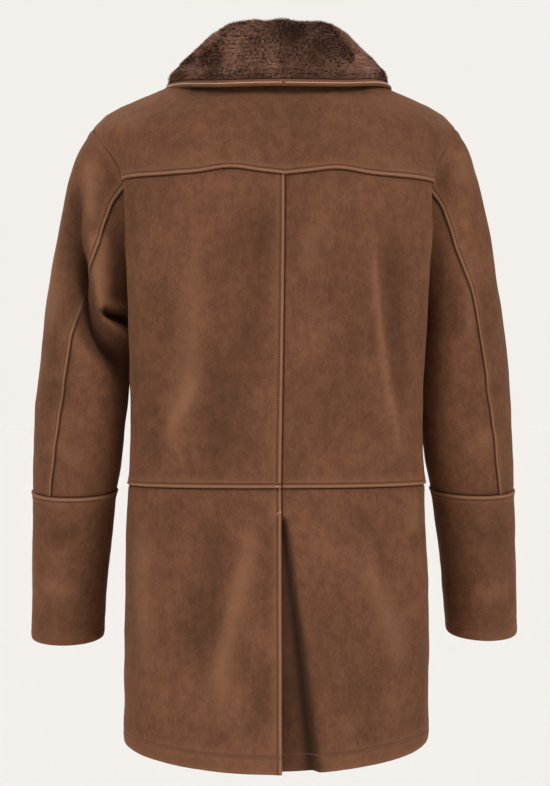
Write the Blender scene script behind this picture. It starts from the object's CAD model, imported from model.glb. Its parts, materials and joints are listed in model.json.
# %% [markdown]
# # A shearling coat, dressed
# Shearling is sheepskin with its wool left on. The skin side is napped to suede and worn
# outwards, and the wool is the lining. The packed coat already has every cut piece as a thin wall
# in its true place, but a plain one. This lesson dresses it: the same pieces are read again from
# smooth surfaces, much more finely, so that they can have rounded seam laps, stitches, soft folds
# and fur.
#
# First the packed coat is loaded. Its box is kept, because the dressed coat has to stay in it.

# %% Load the packed coat
import itertools
import json
import math
from collections import namedtuple

import bmesh
import bpy
import numpy as np
from mathutils import Matrix, Vector

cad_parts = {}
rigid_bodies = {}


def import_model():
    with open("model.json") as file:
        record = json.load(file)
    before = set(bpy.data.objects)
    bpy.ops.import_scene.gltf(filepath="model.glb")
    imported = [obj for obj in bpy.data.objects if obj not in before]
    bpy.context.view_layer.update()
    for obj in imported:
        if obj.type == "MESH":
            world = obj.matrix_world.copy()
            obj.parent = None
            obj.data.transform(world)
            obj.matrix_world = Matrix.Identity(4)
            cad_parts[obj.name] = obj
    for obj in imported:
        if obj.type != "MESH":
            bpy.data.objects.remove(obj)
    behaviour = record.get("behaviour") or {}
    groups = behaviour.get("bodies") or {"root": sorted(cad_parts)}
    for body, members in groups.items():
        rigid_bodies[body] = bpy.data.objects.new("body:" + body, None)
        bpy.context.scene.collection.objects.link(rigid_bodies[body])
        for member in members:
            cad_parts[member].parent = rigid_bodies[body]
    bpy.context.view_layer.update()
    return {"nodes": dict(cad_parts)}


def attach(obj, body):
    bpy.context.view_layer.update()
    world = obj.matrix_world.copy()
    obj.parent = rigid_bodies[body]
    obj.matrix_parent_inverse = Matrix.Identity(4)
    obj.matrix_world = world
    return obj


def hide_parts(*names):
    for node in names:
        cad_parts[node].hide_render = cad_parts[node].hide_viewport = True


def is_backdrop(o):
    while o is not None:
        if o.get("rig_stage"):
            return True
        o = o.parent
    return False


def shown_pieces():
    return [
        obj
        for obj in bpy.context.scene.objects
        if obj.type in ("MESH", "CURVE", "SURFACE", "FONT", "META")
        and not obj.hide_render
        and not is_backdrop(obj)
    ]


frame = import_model()

# %% [markdown]
# The camera stands 1.7 m behind the coat, level with its waist, as for a catalogue picture. Two
# suns as wide as soft boxes light it from behind, one from each side, so that the folds throw soft
# shadows. A wider one fills the front, and a pale world fills the rest. A sun lights the floor
# evenly out to the horizon, which a lamp nearby would not.

# %% Camera and light
scene = bpy.context.scene
scene.view_settings.view_transform = "Standard"


def aimed(thing, place, target):
    """Puts a camera or a lamp at a place, looking at the target."""
    thing.location = place
    thing.rotation_euler = (Vector(target) - Vector(place)).to_track_quat("-Z", "Y").to_euler()
    scene.collection.objects.link(thing)
    return thing


DISTANCE, WAIST_HEIGHT, TURNED = 1.7, -0.42, math.radians(3.2)
stand = (DISTANCE * math.sin(TURNED), DISTANCE * math.cos(TURNED), WAIST_HEIGHT)
camera = bpy.data.objects.new("camera", bpy.data.cameras.new("camera"))
aimed(camera, stand, (0, 0, WAIST_HEIGHT))
camera.data.lens = 59.9
scene.camera = camera


def sun(name, place, strength, width):
    """A sun that shines from a place towards the coat, as wide as a soft box."""
    lamp = bpy.data.lights.new(name, "SUN")
    lamp.energy = strength
    lamp.angle = math.radians(width)
    return aimed(bpy.data.objects.new(name, lamp), place, (0, 0, -0.4))


SIDE, LEFT_SHARE, SIDE_WIDTH = 1.5, 0.92, 30
FILL, FILL_WIDTH, AROUND = 1.3, 60, 0.25
sun("right", (-2.0, 1.8, 1.4), SIDE, SIDE_WIDTH)
sun("left", (2.0, 1.8, 1.4), SIDE * LEFT_SHARE, SIDE_WIDTH)
sun("front_fill", (0.8, -2.6, 1.6), FILL, FILL_WIDTH)

world = bpy.data.worlds.new("studio")
world.use_nodes = True
world.node_tree.nodes["Background"].inputs["Color"].default_value = (1, 1, 1, 1)
world.node_tree.nodes["Background"].inputs["Strength"].default_value = AROUND
scene.world = world
print("camera at", tuple(camera.location), "lens", camera.data.lens)

# %% [markdown]
# A floor and a backdrop of one pale tone go round the coat. They are marked as a stage, because
# they aren't part of it. The backdrop glows and lights nothing, and the floor glows a little too,
# so that no line shows where they meet.

# %% Floor and backdrop
PALE, FLOOR_GLOW = (0.896, 0.871, 0.831), 0.05
FLOOR_COLOUR, FLOOR_RADIUS, FLOOR_Z, BACKDROP_RADIUS = (0.854, 0.827, 0.794), 40.0, -1.45, 42.0


def stage_piece(name, bm, colour, glow):
    """A floor or a backdrop, which isn't part of the coat."""
    mesh = bpy.data.meshes.new(name)
    bm.to_mesh(mesh)
    bm.free()
    material = bpy.data.materials.new(name)
    material.use_nodes = True
    shader = material.node_tree.nodes["Principled BSDF"]
    shader.inputs["Base Color"].default_value = (*colour, 1)
    shader.inputs["Roughness"].default_value = 1.0
    shader.inputs["Specular IOR Level"].default_value = 0.0
    shader.inputs["Emission Color"].default_value = (*PALE, 1)
    shader.inputs["Emission Strength"].default_value = glow
    mesh.materials.append(material)
    piece = bpy.data.objects.new(name, mesh)
    scene.collection.objects.link(piece)
    piece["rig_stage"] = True
    return piece


bm = bmesh.new()
bmesh.ops.create_circle(bm, cap_ends=True, segments=64, radius=FLOOR_RADIUS)
bmesh.ops.translate(bm, verts=bm.verts[:], vec=(0, 0, FLOOR_Z))
stage_piece("floor", bm, FLOOR_COLOUR, FLOOR_GLOW)

bm = bmesh.new()
bmesh.ops.create_uvsphere(bm, u_segments=48, v_segments=24, radius=BACKDROP_RADIUS)
bmesh.ops.reverse_faces(bm, faces=bm.faces[:])
backdrop = stage_piece("backdrop", bm, (0, 0, 0), 1.0)
for ray in ("visible_diffuse", "visible_glossy", "visible_transmission", "visible_shadow"):
    setattr(backdrop, ray, False)
print("floor at", FLOOR_Z, "m, backdrop", BACKDROP_RADIUS, "m away")

# %% [markdown]
# ## The coat's sizes
# These are the pattern's own measurements, in millimetres, within a few millimetres of those that
# the packed walls were cut to. Rows of the body count up from the hem. Each runs from the centre,
# over a roll at the side, to its edge: the side seam below the armpit, the armhole above it.

# %% The pattern's measurements
MM = 0.001
WALL = 4.0
NECK_GAP = 0.8
FRONT_OVERLAP, FRONT_RAMP = 30.0, 16.0
VENT_TOP_Z, VENT_UNDERLAP = -566.0, 34.0
VENT_DEPTH_TOP, VENT_DEPTH_HEM = 5.4, 17.0
VENT_OPEN_TOP, VENT_OPEN_HEM = 1.5, 38.0
VENT_RAMP_TOP, VENT_RAMP_HEM = 5.0, 10.0
ROUNDNESS, ROLL_TUCK, EDGE_BLEND, NECK_BLEND, ROLL_SHARE = 2.3, 0.42, 0.2, 0.08, 0.8
PILE, SKIN, STAND_SHARE = 12.0, 2.0, 0.4
BINDING_WIDTH, BINDING_HALF = 10.0, 2.6
BUTTON_RADIUS, BUTTON_THICK, BUTTON_RIM = 14.0, 4.0, 1.2
BUTTON_HEIGHTS = (-150.0, -262.0, -374.0, -486.0)
ARMHOLE_CENTRE, ARMHOLE_UP = (200.0, 0.0, -176.0), (36.0, 0.0, 98.0)
ARMHOLE_HALF_DEPTH, ARMHOLE_HOLLOW = 68.0, 20.0
ACROSS, PER_ROW = 161, 24
WAIST_ROW, ARMPIT_ROW, YOKE_ROW, SHOULDER_ROW, NECK_SHARE = 3, 6, 8, 11, 0.36
ARMHOLE_ROWS = (6, 7, 8, 9, 10, 11)
ARMHOLE_ANGLES = (180.0, 130.0, 80.0, 55.0, 25.0, 0.0)
print("the walls are", WALL, "mm thick")

# %% [markdown]
# A row of the body gives its centre, the roll at its side and its edge. A ring of the sleeve gives
# its outer and inner ends, its middle and its depth. The armhole seam is one slanted oval, which
# the rows above the armpit end on.

# %% The coat's rows and rings
Row = namedtuple(
    "Row", "centre_y centre_z roll_x roll_y edge_x edge_y edge_z turned", defaults=[1.0]
)
Ring = namedtuple("Ring", "outer_x outer_z inner_x inner_z mid_y half_y hollow back_drop")


def armhole(angle):
    """The point of the left armhole seam at this angle: 0 is the shoulder, 90 the back."""
    turn = np.radians(angle)
    x = ARMHOLE_CENTRE[0] + ARMHOLE_UP[0] * np.cos(turn) - ARMHOLE_HOLLOW * np.sin(turn) ** 2
    y = ARMHOLE_HALF_DEPTH * np.sin(turn)
    z = ARMHOLE_CENTRE[2] + ARMHOLE_UP[2] * np.cos(turn)
    return np.stack([x, y, z], axis=-1)


BACK = (
    Row(152, -873, 192, 40, 192, 0, -853),
    Row(146, -760, 192, 44, 192, 0, -755),
    Row(139, -650, 191, 44, 191, 0, -645),
    Row(130, -535, 186, 44, 186, 0, -535),
    Row(132, -440, 184, 50, 182, 0, -440),
    Row(137, -350, 186, 64, 176, 0, -350),
    Row(140, -275, 188, 74, *armhole(180)),
    Row(139, -225, 190, 77, *armhole(130)),
    Row(132, -156, 192, 78, *armhole(80)),
    Row(122, -110, 206, 60, *armhole(55), 0.8),
    Row(104, -62, 228, 31, *armhole(25), 0.62),
)
FRONT = (
    Row(-147, -868, 192, -35, 192, 0, -853),
    Row(-143, -757, 192, -38, 192, 0, -755),
    Row(-140, -647, 191, -38, 191, 0, -645),
    Row(-135, -535, 186, -38, 186, 0, -535),
    Row(-135, -440, 183, -38, 182, 0, -440),
    Row(-135, -350, 180, -46, 176, 0, -350),
    Row(-134, -275, 175, -60, *armhole(180)),
    Row(-131, -217, 177, -68, *armhole(-130)),
    Row(-128, -168, 189, -73, *armhole(-80)),
    Row(-124, -143, 206, -59, *armhole(-55), 0.8),
    Row(-118, -119, 228, -31, *armhole(-25), 0.62),
)
YOKE_HUMP_X, YOKE_HUMP_HALF, YOKE_HUMP_RISE = 66.0, 34.0, 6.0
YOKE_NOTCH, YOKE_NOTCH_HALF = 2.4, 12.0
NECK = (
    (0, 88, -36), (45, 75, -28), (76, 32, -12), (82, 0, -6),
    (80, -28, -18), (62, -75, -50), (30, -104, -84), (0, -112, -95),
)
NECK_HIGH, NECK_AXIS_Y = 3, -12.0
SHOULDER = ((82, 0, -6), (115, 0, -14), (150, 0, -27), (190, 0, -44), (220, 0, -61), (236, 0, -78))
SLEEVE = (
    Ring(236, -78, 164, -274, 0, 68, 20, 0),
    Ring(254, -109, 174, -287, 0, 67, 5, 0),
    Ring(271, -172, 181, -306, 1, 69, 0, 0),
    Ring(285, -250, 186, -332, 2, 72, 0, 0),
    Ring(297, -325, 187, -370, 3, 72, 0, 2),
    Ring(306, -415, 190, -435, 1, 68, 0, 4),
    Ring(311.5, -500, 199, -508, -4, 62, 0, 6),
    Ring(312, -544, 205.5, -544, -8, 59, 0, 7),
    Ring(315, -642, 215.5, -642, -20, 54, 0, 6),
    Ring(317, -738, 224, -738, -33, 48, 0, 5),
)
ELBOW_ROW, CUFF_ROW = 7, 9
SLEEVE_SEAMS = (
    # row, back seam's angle, front seam's angle
    (0.0, 81.0, -112.5),
    (0.6, 85.5, -114.0),
    (1.2, 91.0, -115.0),
    (1.85, 93.0, -116.0),
    (2.45, 90.0, -117.0),
    (3.1, 84.0, -118.0),
    (4.0, 78.5, -119.0),
    (5.0, 71.0, -120.0),
    (6.0, 66.0, -120.0),
    (7.0, 62.0, -120.0),
)
COLLAR = (
    # place along the neck seam, the fold, the outer edge
    (0.0, (0, 76, 33), (0, 110, -46)),
    (1.0, (52, 63, 33), (74, 93, -43)),
    (2.2, (68, 18, 33), (139, 25, -28)),
    (3.3, (68, -16, 27), (149, -30, -32)),
    (5.0, (54, -76, -18), (126, -124, -108)),
    (6.6, (15, -113, -84), (75, -137, -188)),
)
PILE_PLACES = (0.0, 0.12, 0.36, 0.93, 1.0)
PILE_SHARES = (0.3, 0.5, 1.0, 1.0, 0.45)
print(len(BACK), "rows of back,", len(SLEEVE), "rings of sleeve,", len(COLLAR), "ribs of collar")

# %% [markdown]
# A smooth sheet is made by drawing each row as a curve, and then joining the rows with a curve
# that passes through all of them. The result is a dense table of points with the way out of the
# sheet at each. Any piece, however fine, is read from that table, so neighbours always agree.

# %% Smooth lines and rows


def unit(vectors):
    """Each vector at length 1."""
    return vectors / np.linalg.norm(vectors, axis=-1, keepdims=True)


def ease(x):
    """0 to 1 with a soft start and a soft end."""
    x = np.clip(x, 0.0, 1.0)
    return x * x * (3.0 - 2.0 * x)


def along(points):
    """How far along the line each of its points is."""
    steps = np.linalg.norm(np.diff(points, axis=0), axis=1)
    return np.concatenate([[0.0], np.cumsum(steps)])


def evenly(points, count):
    """The same line with this many points, evenly spaced along it."""
    far = along(points)
    places = np.linspace(0.0, far[-1], count)
    return np.stack([np.interp(places, far, points[:, k]) for k in range(3)], axis=1)


def smooth_rows(rows, per_row, above=None):
    """Rows worked out between the given ones, through each; above is the row past the last."""
    rows = np.asarray(rows, float)
    gaps = np.linalg.norm(np.diff(rows, axis=0), axis=-1)
    gaps = gaps.reshape(len(gaps), -1).mean(axis=1)
    slopes = np.empty_like(rows)
    slopes[0] = (rows[1] - rows[0]) / gaps[0]
    slopes[-1] = (rows[-1] - rows[-2]) / gaps[-1]
    for k in range(1, len(rows) - 1):
        slopes[k] = (rows[k + 1] - rows[k - 1]) / (gaps[k - 1] + gaps[k])
    if above is not None:
        slopes[-1] = (above - rows[-2]) / (2 * gaps[-1])
    found = []
    for k, gap in enumerate(gaps):
        for u in np.arange(per_row) / per_row:
            start = 2 * u**3 - 3 * u**2 + 1
            leave, arrive = (u**3 - 2 * u**2 + u) * gap, (u**3 - u**2) * gap
            middle = start * rows[k] + (1 - start) * rows[k + 1]
            found.append(middle + leave * slopes[k] + arrive * slopes[k + 1])
    return np.array([*found, rows[-1]])


def through(points, count):
    """A smooth line through the points, as evenly spaced points."""
    return evenly(smooth_rows(points, PER_ROW), count)


print("each gap between rows gets", PER_ROW, "rows")

# %% [markdown]
# A sheet can be read at any place, also between its points. It knows how long it is across a row
# too, so that a piece can be laid out on it in millimetres.

# %% A smooth sheet that pieces are read from


class Sheet:
    """A smooth sheet. s goes across it from 0 to 1, and t counts its rows."""

    def __init__(self, points, facing):
        self.points = points
        up, over = np.gradient(points, axis=0), np.gradient(points, axis=1)
        normals = facing * np.cross(over, up)
        normals[np.abs(points[..., 0]) < 1e-6, 0] = 0.0
        self.normals = unit(normals)

    def read(self, table, s, t):
        """Reads a table between its points. A negative s mirrors the sheet in x."""
        s, t = np.broadcast_arrays(np.asarray(s, float), np.asarray(t, float))
        mirror = np.where(s[..., None] < 0, (-1.0, 1.0, 1.0), (1.0, 1.0, 1.0))
        row = np.clip(t * PER_ROW, 0, len(table) - 1)
        column = np.clip(np.abs(s), 0, 1) * (table.shape[1] - 1)
        row_0 = np.minimum(row.astype(int), len(table) - 2)
        column_0 = np.minimum(column.astype(int), table.shape[1] - 2)
        u, v = (row - row_0)[..., None], (column - column_0)[..., None]
        low = table[row_0, column_0] * (1 - v) + table[row_0, column_0 + 1] * v
        high = table[row_0 + 1, column_0] * (1 - v) + table[row_0 + 1, column_0 + 1] * v
        return (low * (1 - u) + high * u) * mirror

    def point(self, s, t):
        """The sheet's point there."""
        return self.read(self.points, s, t)

    def normal(self, s, t):
        """The way out of the sheet there."""
        return unit(self.read(self.normals, s, t))

    def across(self, t):
        """Places across row t, and how far along it each one is."""
        s = np.linspace(0, 1, 400)
        return s, along(self.point(s, np.full_like(s, t)))

    def width(self, t):
        """How long the sheet is across row t."""
        return self.across(t)[1][-1]

    def s_at(self, distances, t):
        """The places this far from the start of row t. Before it, they run on evenly."""
        s, far = self.across(t)
        return np.where(distances < 0, distances * s[1] / far[1], np.interp(distances, far, s))


print("a sheet is", ACROSS, "points wide")

# %% [markdown]
# The body's rows are rounded quarters with a soft turn in to the edge. The front and the back are
# drawn the same way. They share the shoulder line, and the line of the armhole seam.

# %% The body as sheets


def body_arc(row):
    """One row of the body: a rounded quarter to the roll, then a soft turn to the edge."""
    quarter = np.linspace(0, row.turned * math.pi / 2, 121)
    power = 2 / ROUNDNESS
    over, back = np.sin(quarter) ** power, np.abs(np.cos(quarter)) ** power
    x = row.roll_x * over / over[-1]
    y = row.roll_y + (row.centre_y - row.roll_y) * (back - back[-1]) / (1 - back[-1])
    turn = np.linspace(0, 1, 61)
    tuck_x = row.roll_x + (row.edge_x - row.roll_x) * ease(turn**ROLL_TUCK)
    tuck_y = row.roll_y + (row.edge_y - row.roll_y) * turn
    to_roll = round(ROLL_SHARE * (ACROSS - 1)) + 1
    over = evenly(np.stack([x, y, 0 * x], axis=1), to_roll)
    tuck = evenly(np.stack([tuck_x, tuck_y, 0 * turn], axis=1), ACROSS - to_roll + 1)
    flat = np.concatenate([over, tuck[1:]])
    flat[:, 2] = row.centre_z + (row.edge_z - row.centre_z) * ease(np.linspace(0, 1, ACROSS))
    return flat


def body_sheet(rows, neck_part, facing, front_or_back):
    """The front or the back half of the body, from its rows."""
    arcs = [body_arc(row) for row in rows]
    seam = arcs[YOKE_ROW]
    if front_or_back > 0:
        hump = np.exp(-(((seam[:, 0] - YOKE_HUMP_X) / YOKE_HUMP_HALF) ** 2))
        seam[:, 2] += YOKE_HUMP_RISE * hump - YOKE_NOTCH * np.exp(-seam[:, 0] / YOKE_NOTCH_HALF)
    neck_count = round(NECK_SHARE * (ACROSS - 1)) + 1
    shoulder = through(SHOULDER, ACROSS - neck_count + 1)
    top = np.concatenate([evenly(neck_part, neck_count), shoulder[1:]])
    places = np.linspace(0, 1, ACROSS)[:, None]
    share = ease((places - NECK_SHARE + NECK_BLEND) / (2 * NECK_BLEND))
    above = (2 * top - arcs[-1]) * (1 - share) + arcs[-1] * (1, -1, 1) * share
    points = smooth_rows([*arcs, top], PER_ROW, above)
    up = np.arange(len(points)) / PER_ROW
    angles = front_or_back * np.interp(up, ARMHOLE_ROWS, ARMHOLE_ANGLES)
    on_side = points[:, -1] * (1, 0, 1)
    edge = np.where(up[:, None] >= ARMPIT_ROW, armhole(angles), on_side)
    move = edge - points[:, -1]
    fade = ease((places - 1 + EDGE_BLEND) / EDGE_BLEND)
    return Sheet(points + move[:, None, :] * fade[None], facing)


neck_line = smooth_rows(NECK, PER_ROW)
high = NECK_HIGH * PER_ROW
back = body_sheet(BACK, neck_line[: high + 1], -1, 1)
front = body_sheet(FRONT, neck_line[high:][::-1], 1, -1)
print("half the back is", round(back.width(5)), "mm across")

# %% [markdown]
# The sleeve's rows are slanted ovals, so that its head can meet the slanted armhole. The collar's
# ribs rise from the neck seam as its stand, turn over at the fold and drop as its fall.

# %% The sleeve and the collar as sheets


def sleeve_sheet():
    """The left sleeve. s is the angle over 360, from the outer side round by the back."""
    turn = np.linspace(0, 2 * math.pi, ACROSS)
    rings = []
    for ring in SLEEVE:
        mid_x, half_x = (ring.outer_x + ring.inner_x) / 2, (ring.outer_x - ring.inner_x) / 2
        mid_z, half_z = (ring.outer_z + ring.inner_z) / 2, (ring.outer_z - ring.inner_z) / 2
        x = mid_x + half_x * np.cos(turn) - ring.hollow * np.sin(turn) ** 2
        y = ring.mid_y + ring.half_y * np.sin(turn)
        z = mid_z + half_z * np.cos(turn) - ring.back_drop * np.sin(turn)
        rings.append(np.stack([x, y, z], axis=1))
    return Sheet(smooth_rows(rings, PER_ROW), -1)


def bend(start, leave, arrive, end, count=40):
    """A cubic curve from start to end, leaving and arriving along the two handles."""
    u = np.linspace(0, 1, count)[:, None]
    near = (1 - u) ** 3 * start + 3 * (1 - u) ** 2 * u * leave
    return near + 3 * (1 - u) * u**2 * arrive + u**3 * end


def collar_sheet(neck):
    """The left half of the collar's middle layer: up the stand, over the fold, down the fall."""
    rows = []
    for place, fold, edge in COLLAR:
        foot = neck[round(place * PER_ROW)] + (0, 0, NECK_GAP)
        fold, edge = np.array(fold, float), np.array(edge, float)
        away = unit((edge - fold) * (1, 1, 0))
        rise, drop = np.linalg.norm(fold - foot), np.linalg.norm(edge - fold)
        stand = bend(foot, foot + (0, 0, 0.5 * rise), fold - away * 0.3 * rise, fold)
        fall = bend(fold, fold + away * 0.26 * drop, edge - unit(edge - fold) * 0.35 * drop, edge)
        count = round(STAND_SHARE * (ACROSS - 1)) + 1
        rows.append(np.concatenate([evenly(stand, count), evenly(fall, ACROSS - count + 1)[1:]]))
    return Sheet(smooth_rows(rows, PER_ROW), -1)


sleeve = sleeve_sheet()
collar = collar_sheet(neck_line)
print("the sleeve is", round(sleeve.width(4)), "mm round, the collar", round(collar.width(0)), "deep")

# %% [markdown]
# ## How the coat hangs and creases
# Worn suede folds softly: long ridges run where the cloth bears its own weight, and the sleeves
# crumple in the crook of the arm. Each crease is a line as seen from behind or in front, with
# how far it stands up, or is pressed in, and how quickly it fades above and below the line.

# %% The coat's creases
Crease = namedtuple("Crease", "facing height above below path")


def creases(behind, before):
    """Creases from the lines of two tables."""
    lines = [(1, line) for line in behind] + [(-1, line) for line in before]
    return [Crease(facing, *line[:3], line[3:]) for facing, line in lines]


# height, width above, width below, then the line's points across and up
BODY_BEHIND = (
    # a soft ridge down the left, and a narrow one on the right with a hollow beside it
    (3.0, 17, 17, (91, -185), (103, -260), (107, -344), (109, -404), (124, -446), (148, -496)),
    (2.2, 9, 9, (104, -385), (112, -422), (126, -450), (148, -494)),
    (-3.2, 15, 15, (31, -165), (28, -224), (31, -284), (40, -344), (47, -392), (69, -420)),
    (-2.6, 12, 12, (143, -270), (140, -320), (137, -380)),
    (-2.2, 52, 52, (66, -150), (70, -260), (62, -400), (66, -550)),
    (-2.2, 10, 10, (160, -420), (150, -458), (160, -500)),
    (-2.2, 14, 14, (84, -430), (80, -484), (76, -532)),
    (4.2, 6, 5, (-108, -200), (-111, -284), (-117, -332), (-126, -392), (-146, -482), (-163, -520)),
    (1.7, 2.6, 2.6, (-107, -230), (-110, -284), (-116, -332), (-125, -392), (-145, -482)),
    (-6.0, 13, 13, (-132, -222), (-138, -308), (-144, -368), (-154, -450)),
    (1.6, 11, 11, (-26, -210), (-29, -245), (-26, -290)),
    (-1.6, 13, 13, (-92, -380), (-100, -430), (-118, -492)),
    (1.2, 10, 12, (70, -128), (110, -136), (150, -150)),
    (1.2, 10, 12, (-74, -126), (-118, -134), (-158, -152)),
    # over the skirts
    (-5.0, 19, 19, (75, -546), (83, -620), (94, -692), (117, -760)),
    (3.0, 14, 14, (30, -556), (43, -620), (55, -668), (67, -716), (73, -764), (67, -830)),
    (-3.2, 12, 12, (17, -735), (27, -788), (38, -846)),
    (-2.2, 10, 10, (17, -545), (17, -620), (18, -740)),
    (2.2, 11, 11, (166, -555), (166, -650), (163, -780)),
    (-2.0, 11, 11, (139, -540), (133, -575), (136, -606)),
    (-2.8, 11, 11, (-77, -546), (-107, -584), (-125, -614), (-141, -660)),
    (2.4, 13, 13, (-98, -606), (-119, -668), (-137, -716), (-150, -765)),
    (-2.0, 17, 17, (-110, -730), (-112, -800), (-108, -856)),
    (2.0, 10, 10, (-164, -540), (-166, -570), (-163, -600)),
)
BODY_BEFORE = (
    # drag lines from the armholes and hollows over the skirts
    (2.2, 14, 16, (150, -232), (126, -262), (104, -318), (96, -392)),
    (2.0, 14, 16, (-152, -240), (-130, -276), (-112, -330), (-104, -400)),
    (-2.2, 15, 15, (124, -300), (130, -372), (146, -450), (158, -512)),
    (-2.4, 15, 15, (-128, -310), (-136, -380), (-150, -448), (-160, -508)),
    (1.8, 12, 12, (60, -430), (70, -470), (92, -515)),
    (1.6, 12, 12, (-58, -420), (-66, -470), (-90, -512)),
    (-2.8, 20, 20, (112, -560), (118, -650), (114, -780)),
    (-2.6, 20, 20, (-104, -560), (-110, -660), (-108, -790)),
    (2.0, 18, 18, (66, -600), (70, -700), (66, -830)),
    (1.8, 18, 18, (-68, -590), (-74, -690), (-70, -810)),
)
SLEEVES_BEHIND = (
    # the left sleeve has a deep crook with a sharp lip over it, the right one a shallow hollow
    (-15.0, 9, 9, (252, -150), (256, -228), (249, -272), (240, -306)),
    (-24, 7, 17, (248, -215), (241, -270), (235, -306), (225, -335), (211, -355), (193, -374), (155, -396)),
    (-17, 3.5, 8, (224, -312), (212, -318), (200, -323), (186, -326), (155, -330)),
    (6.5, 13, 12, (224, -212), (221, -256), (218, -288), (206, -304)),
    (-4.2, 8, 8, (214, -92), (209, -130), (206, -172)),
    (3.0, 9, 9, (237, -112), (234, -160), (231, -222)),
    (3.4, 10, 10, (283, -212), (279, -290), (284, -356)),
    (5.5, 9, 5, (224, -280), (221, -313), (214, -328), (200, -339), (184, -352), (160, -362)),
    (3.0, 8, 3, (222, -303), (208, -309), (186, -311), (165, -310)),
    (2.4, 12, 14, (268, -330), (252, -352), (222, -378), (198, -392)),
    (-2.2, 12, 15, (290, -400), (262, -428), (228, -452)),
    (1.8, 12, 12, (288, -470), (262, -498), (232, -508)),
    (-2.4, 9, 12, (300, -585), (272, -600), (238, -590)),
    (1.8, 12, 12, (302, -655), (276, -672), (242, -668)),
    (2.2, 13, 13, (-232, -104), (-236, -132), (-240, -165)),
    (-3.0, 9, 9, (-198, -86), (-205, -130), (-212, -184)),
    (-2.2, 15, 13, (-213, -272), (-218, -318), (-223, -360)),
    (-1.4, 12, 12, (-259, -280), (-262, -320), (-258, -364)),
    (2.0, 10, 10, (-238, -240), (-240, -300), (-238, -372)),
    (-2.4, 12, 14, (-288, -392), (-262, -420), (-226, -436)),
    (1.8, 12, 12, (-282, -462), (-258, -486), (-226, -494)),
    (-2.0, 9, 12, (-300, -590), (-268, -604), (-236, -592)),
    (1.6, 12, 12, (-304, -660), (-272, -680), (-240, -672)),
)
SLEEVES_BEFORE = (
    (-2.6, 12, 14, (262, -150), (250, -210), (226, -262)),
    (-2.8, 12, 14, (-262, -156), (-248, -214), (-224, -268)),
    (-4.4, 8, 12, (296, -452), (266, -470), (214, -458)),
    (-3.6, 8, 11, (296, -508), (262, -520), (212, -500)),
    (-4.2, 8, 12, (-296, -448), (-264, -468), (-212, -456)),
    (-3.8, 8, 11, (-298, -506), (-264, -518), (-214, -498)),
    (-2.2, 9, 12, (290, -590), (262, -600), (224, -586)),
    (-2.2, 9, 12, (-292, -588), (-262, -598), (-224, -584)),
)
CREASES, SLEEVE_CREASES = creases(BODY_BEHIND, BODY_BEFORE), creases(SLEEVES_BEHIND, SLEEVES_BEFORE)
print(len(CREASES) + len(SLEEVE_CREASES), "creases")

# %% [markdown]
# Between its creases no worn hide is flat, so random swellings of three sizes are added. They are
# read from tables of random numbers by place alone, so two pieces that meet swell together. The
# crests of the creases are rubbed paler, and their hollows stay dark.

# %% Creases and swellings on the skin


class SoftNoise:
    """Random swellings of one size, in millimetres, the same wherever they are asked for."""

    def __init__(self, size, seed):
        self.size = size
        self.table = np.random.default_rng(seed).uniform(-1, 1, (31, 31, 31))

    def at(self, points):
        """The swelling at each point, from -1 to 1."""
        place = np.asarray(points, float) / self.size
        whole = np.floor(place).astype(int)
        part = ease(place - whole)
        total = 0.0
        for corner in itertools.product((0, 1), repeat=3):
            index = (whole + corner) % len(self.table)
            share = np.prod(np.where(corner, part, 1 - part), axis=-1)
            total = total + share * self.table[tuple(np.moveaxis(index, -1, 0))]
        return total


SWELLS = ((SoftNoise(74.0, 3), 1.6), (SoftNoise(31.0, 5), 0.8), (SoftNoise(15.0, 8), 0.3))
FOLD_DEPTH, CREASE_POINTS, TAPER_POINTS, TURNED_AWAY = 1.15, 33, 9, 0.4


def relief(points, normals, creases):
    """How far the worn suede stands out at each point: all told, and from its creases alone."""
    flat = points.reshape(-1, 3)
    seen, facing = flat[:, [0, 2]], normals.reshape(-1, 3)[:, 1]
    found = np.zeros(len(flat))
    steps = np.arange(CREASE_POINTS)
    taper = ease(np.minimum(steps, steps[::-1]) / TAPER_POINTS)
    for crease in creases:
        path = np.insert(np.array(crease.path, float), 1, 0.0, axis=1)
        path = through(path, CREASE_POINTS)[:, [0, 2]]
        reach = 3 * max(crease.above, crease.below)
        near = ((seen > path.min(axis=0) - reach) & (seen < path.max(axis=0) + reach)).all(axis=1)
        near &= facing * crease.facing > 0
        distance = np.linalg.norm(seen[near][:, None] - path, axis=-1)
        nearest = distance.argmin(axis=-1)
        slope = path[np.minimum(nearest + 1, steps[-1])] - path[np.maximum(nearest - 1, 0)]
        offset = seen[near] - path[nearest]
        over = slope[:, 0] * offset[:, 1] - slope[:, 1] * offset[:, 0]
        over = over * (path[-1, 0] - path[0, 0])
        width = np.where(over < 0, crease.below, crease.above)
        shape = np.exp(-((distance.min(axis=-1) / width) ** 2)) * taper[nearest]
        turned = ease(np.abs(facing[near]) / TURNED_AWAY)
        found[near] += FOLD_DEPTH * crease.height * shape * turned
    swell = found + sum(height * noise.at(flat) for noise, height in SWELLS)
    return swell.reshape(points.shape[:-1]), found.reshape(points.shape[:-1])


CREST_WORN, CREST_HIGH = 0.95, 4
HOLLOW_SHADE, HOLLOW_DEEP = 0.42, 4.5
CROOK_SHADE, CROOK_DEEP = 0.3, 12


def rubbed(worn, groove, crease):
    """The two tints with the crests of the creases rubbed paler and their hollows darker."""
    worn = np.maximum(worn, CREST_WORN * np.clip(crease / CREST_HIGH, 0, 1))
    hollow = HOLLOW_SHADE * np.clip(-crease / HOLLOW_DEEP, 0, 1)
    hollow = hollow + CROOK_SHADE * np.clip(-crease / CROOK_DEEP - 1, 0, 1)
    return worn, np.maximum(groove, hollow)


print("swellings of", [noise.size for noise, _ in SWELLS], "mm")

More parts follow.
